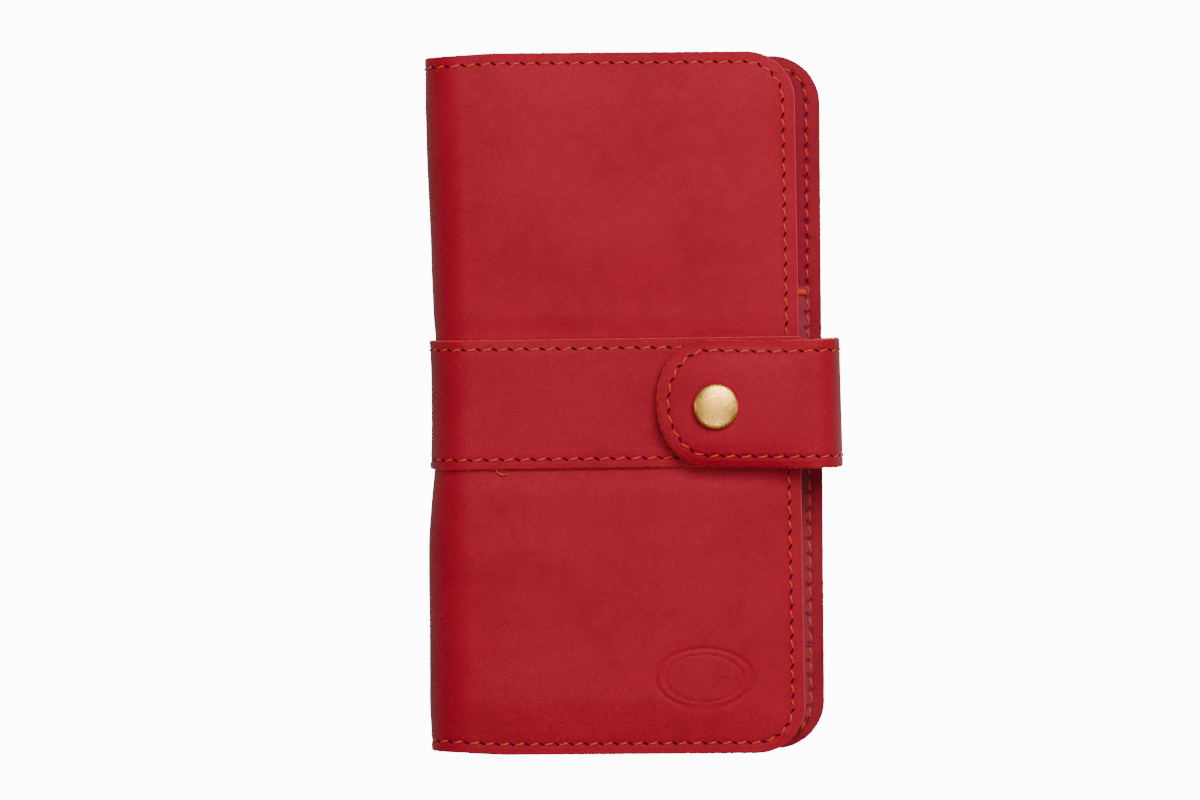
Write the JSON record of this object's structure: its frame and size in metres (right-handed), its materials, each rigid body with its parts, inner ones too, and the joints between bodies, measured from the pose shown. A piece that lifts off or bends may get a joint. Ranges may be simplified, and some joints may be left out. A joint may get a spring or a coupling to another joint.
{
  "type": "phone wallet case",
  "caption": "Book-style leather phone wallet case with a lined phone pocket, card pockets and a wrap-round strap that closes with a brass snap.",
  "frame": {"origin": "bottom centre of the closed case, on the face it lies on", "axes": "+Z through the thickness with the front cover on top, +Y towards the top edge, +X from the spine to the opening edge"},
  "size_m": [0.1152, 0.1944, 0.0319],
  "materials": {
    "red_leather": "smooth waxed red leather, semi-matt, with fine grain and soft creases",
    "raw_leather": "suede-like flesh side",
    "lining_leather": "thin burgundy lining leather, matt",
    "board": "plain grey-brown board",
    "thread": "twisted orange waxed thread",
    "antique_brass": "brushed antique brass with a soft sheen",
    "spring_steel": "bright spring wire"
  },
  "bodies": {
    "back_cover": {"back_cover_leather": "red_leather", "back_stiffener": "board", "back_lining": "lining_leather", "phone_pocket_gusset": "lining_leather", "phone_pocket_panel": "lining_leather", "bartack_left": "thread", "bartack_right": "thread", "strap_back_band": "red_leather"},
    "spine": {"spine_leather": "red_leather", "spine_lining": "lining_leather", "strap_spine_band": "red_leather"},
    "front_cover": {"front_cover_leather": "red_leather", "front_stiffener": "board", "front_lining": "lining_leather", "slip_pocket_panel": "lining_leather", "card_pocket_1": "lining_leather", "card_pocket_2": "lining_leather", "card_pocket_3": "lining_leather", "card_pocket_4": "lining_leather", "strap_front_band": "red_leather", "snap_stud": "antique_brass", "snap_stud_post": "antique_brass"},
    "strap_side": {"strap_side_leather": "red_leather", "strap_side_backing": "raw_leather"},
    "strap_tab": {"strap_tab_leather": "red_leather", "strap_tab_backing": "raw_leather", "snap_cap": "antique_brass", "snap_socket": "antique_brass", "snap_spring": "spring_steel"}
  },
  "joints": [
    {"name": "spine_fold_back", "type": "hinge", "parent": "back_cover", "child": "spine", "pos_m": [-0.05333, 0, 0.00432], "axis": [0, -1, 0], "range_deg": [0, 87]},
    {"name": "spine_fold_front", "type": "hinge", "parent": "spine", "child": "front_cover", "pos_m": [-0.05333, 0, 0.01908], "axis": [0, -1, 0], "range_deg": [0, 87]},
    {"name": "strap_side_fold", "type": "hinge", "parent": "back_cover", "child": "strap_side", "pos_m": [0.05624, 0, 0.00141], "axis": [0, 1, 0], "range_deg": [0, 86]},
    {"name": "strap_tab_fold", "type": "hinge", "parent": "strap_side", "child": "strap_tab", "pos_m": [0.05341, 0, 0.02536], "axis": [0, 1, 0], "range_deg": [0, 86]}
  ],
  "couplings": [
    {"joint": "spine_fold_front", "follows": "spine_fold_back", "ratio": 1}
  ]
}
